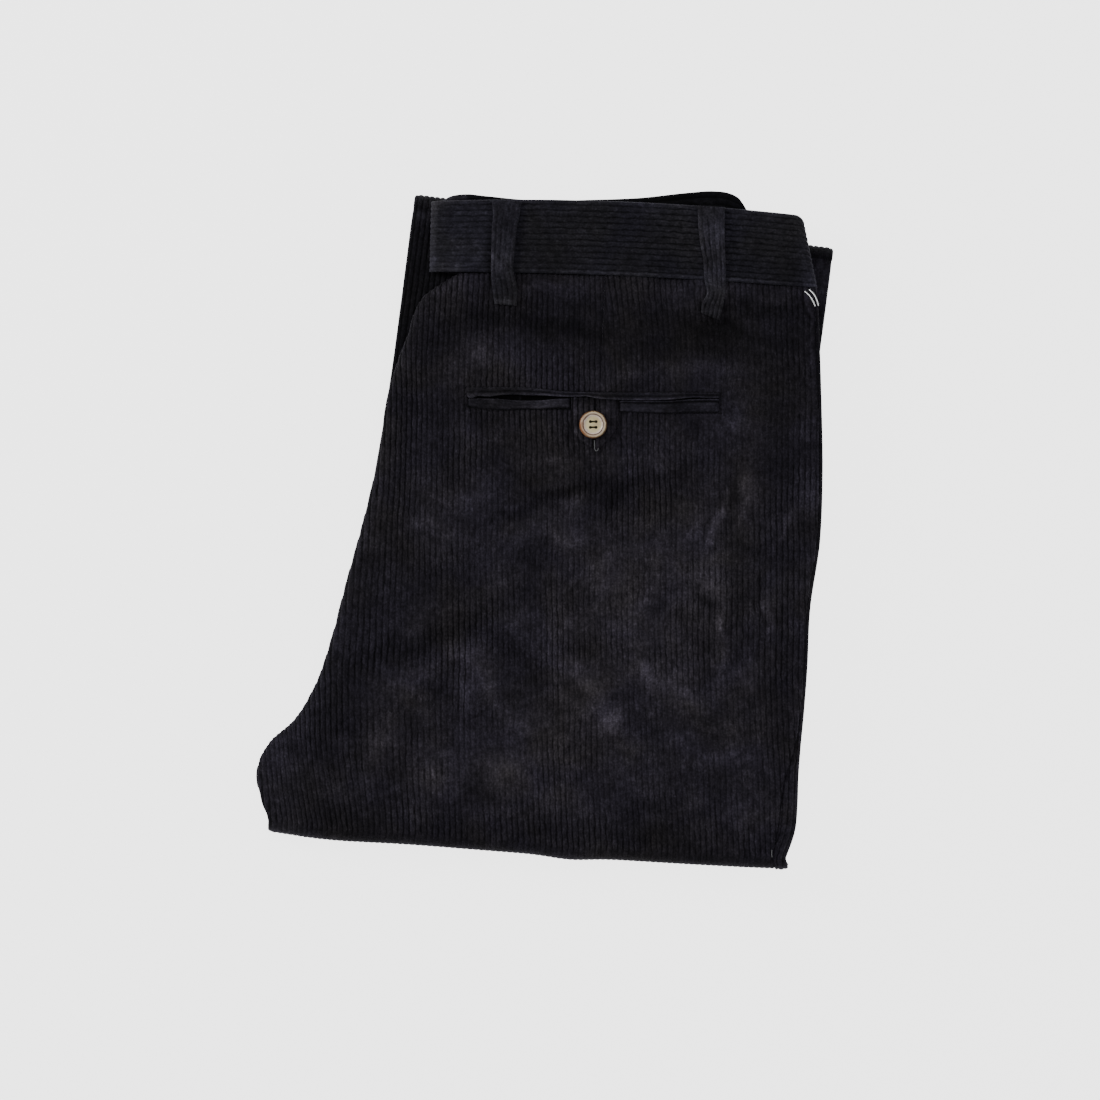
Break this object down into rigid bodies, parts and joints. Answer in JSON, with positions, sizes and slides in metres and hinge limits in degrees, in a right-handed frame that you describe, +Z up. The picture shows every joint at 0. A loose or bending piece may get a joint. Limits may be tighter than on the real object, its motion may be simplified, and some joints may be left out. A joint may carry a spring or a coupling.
{
  "type": "folded corduroy trousers",
  "caption": "Corduroy trousers folded flat, leg on leg and then in thirds, with a buttoned back pocket, a ribbed waistband and belt loops on top.",
  "frame": {"origin": "centre of the folded garment's footprint, on the surface it lies on", "axes": "+X to the wearer's right side seam, +Y to the waistband, +Z up from the surface"},
  "size_m": [0.324, 0.3828, 0.0288],
  "materials": {
    "corduroy": "near-black cotton corduroy, eight wales to the inch, soft brushed pile",
    "waistband_corduroy": "the same corduroy cut with its wales along the band",
    "loop_corduroy": "narrow folded strips of the corduroy, pile rubbed a little lighter",
    "button_horn": "four-hole horn-effect button, cream with a brown rim, half gloss"
  },
  "bodies": {
    "root": {"folded_layers": "corduroy", "back_left": "corduroy", "back_right": "corduroy", "front_right": "corduroy", "waistband_left": "waistband_corduroy", "waistband_right": "waistband_corduroy", "belt_loop_back": "loop_corduroy", "belt_loop_side": "loop_corduroy", "pocket_welt_upper": "corduroy", "pocket_welt_lower_back": "corduroy", "pocket_welt_lower_side": "corduroy", "pocket_tab": "corduroy", "pocket_button": "button_horn"}
  },
  "joints": []
}
